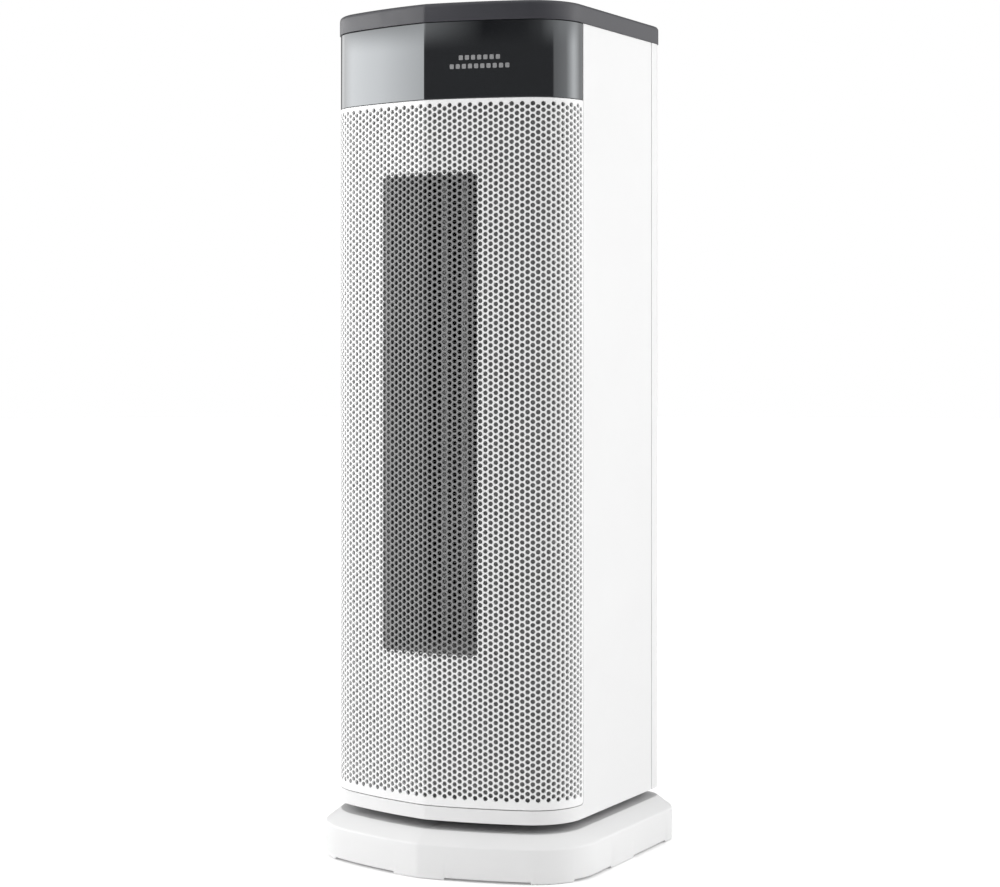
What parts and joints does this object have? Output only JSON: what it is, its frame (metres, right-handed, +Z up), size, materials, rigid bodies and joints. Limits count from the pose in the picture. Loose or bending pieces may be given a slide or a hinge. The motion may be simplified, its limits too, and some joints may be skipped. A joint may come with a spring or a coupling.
{
  "type": "ceramic tower space heater",
  "caption": "Oscillating ceramic tower heater: white shell, perforated metal front, black display band, charcoal cap with push buttons, wide square base.",
  "frame": {"origin": "centre of the base footprint, on the floor", "axes": "+Z up, front grille faces -Y, +X to the viewer's right when facing the front"},
  "size_m": [0.2096, 0.2115, 0.597],
  "materials": {
    "white_shell": "fine satin moulded white",
    "grey_plastic": "matt moulded grey",
    "foot_rubber": "matt rubber",
    "steel": "zinc plated",
    "black_plastic": "satin black",
    "motor_steel": "pressed steel can",
    "heat_plastic": "heat resistant, matt",
    "grille_metal": "perforated sheet, pale silver coat",
    "display_gloss": "polished black",
    "charcoal_cap": "fine matt charcoal",
    "circuit_board": "solder mask",
    "relay_plastic": "moulded blue",
    "fin_aluminium": "mill finish",
    "brass": "plain"
  },
  "bodies": {
    "base": {"base_shell": "white_shell", "base_plate": "grey_plastic", "rubber_feet": "foot_rubber", "base_screws": "steel", "cord_gland": "black_plastic", "lower_race": "black_plastic", "swing_motor": "motor_steel", "motor_posts": "steel"},
    "pinion": {"swing_pinion": "black_plastic"},
    "tower": {"tower_floor": "grey_plastic", "upper_race": "black_plastic", "swing_gear": "black_plastic", "hub_retainer": "grey_plastic", "hub_screws": "steel", "front_shell": "white_shell", "outlet_duct": "heat_plastic", "front_grille": "grille_metal", "display_panel": "display_gloss", "rear_cover": "white_shell", "intake_grille": "white_shell", "handle_cup": "grey_plastic", "dust_filter": "black_plastic", "top_cap": "charcoal_cap", "shell_screws": "steel", "button_board": "circuit_board", "board_screws": "steel", "button_switches": "black_plastic", "display_board": "circuit_board", "digit_display": "display_gloss", "remote_receiver": "black_plastic", "switch_housing": "black_plastic", "ptc_frame": "heat_plastic", "ptc_fins": "fin_aluminium", "ptc_strips": "fin_aluminium", "ptc_terminals": "brass", "thermal_cutout": "motor_steel", "blower_housing": "heat_plastic", "upper_bush": "brass", "blower_motor": "motor_steel", "motor_bracket": "steel", "motor_mounts": "foot_rubber", "control_board": "circuit_board", "board_relays": "relay_plastic", "board_parts": "black_plastic", "tip_over_sensor": "black_plastic", "heater_leads": "black_plastic"},
    "blower": {"blower_wheel": "heat_plastic", "blower_shaft": "steel"},
    "rocker": {"rocker": "black_plastic"},
    "button_power": {"button_power": "charcoal_cap"},
    "button_mode": {"button_mode": "charcoal_cap"},
    "button_swing": {"button_swing": "charcoal_cap"},
    "button_timer": {"button_timer": "charcoal_cap"},
    "button_level": {"button_level": "charcoal_cap"}
  },
  "joints": [
    {"name": "tower_swing", "type": "hinge", "parent": "base", "child": "tower", "pos_m": [0, 0, 0.035], "axis": [0, 0, 1], "range_deg": [-35, 35]},
    {"name": "pinion_spin", "type": "hinge", "parent": "base", "child": "pinion", "pos_m": [0.0451, 0, 0.025], "axis": [0, 0, 1], "range_deg": [-176, 176]},
    {"name": "blower_spin", "type": "hinge", "parent": "tower", "child": "blower", "pos_m": [0, 0.032, 0.315], "axis": [0, 0, 1], "continuous": true},
    {"name": "rocker_tilt", "type": "hinge", "parent": "tower", "child": "rocker", "pos_m": [0.052, 0.0935, 0.084], "axis": [1, 0, 0], "range_deg": [-8, 8]},
    {"name": "press_power", "type": "slide", "parent": "tower", "child": "button_power", "axis": [0, 0, -1], "range_m": [0, 0.0012], "stiffness_N_per_m": 400, "springref_m": -0.001},
    {"name": "press_mode", "type": "slide", "parent": "tower", "child": "button_mode", "axis": [0, 0, -1], "range_m": [0, 0.0012], "stiffness_N_per_m": 400, "springref_m": -0.001},
    {"name": "press_swing", "type": "slide", "parent": "tower", "child": "button_swing", "axis": [0, 0, -1], "range_m": [0, 0.0012], "stiffness_N_per_m": 400, "springref_m": -0.001},
    {"name": "press_timer", "type": "slide", "parent": "tower", "child": "button_timer", "axis": [0, 0, -1], "range_m": [0, 0.0012], "stiffness_N_per_m": 400, "springref_m": -0.001},
    {"name": "press_level", "type": "slide", "parent": "tower", "child": "button_level", "axis": [0, 0, -1], "range_m": [0, 0.0012], "stiffness_N_per_m": 400, "springref_m": -0.001}
  ],
  "couplings": [
    {"joint": "pinion_spin", "follows": "tower_swing", "ratio": -5}
  ]
}
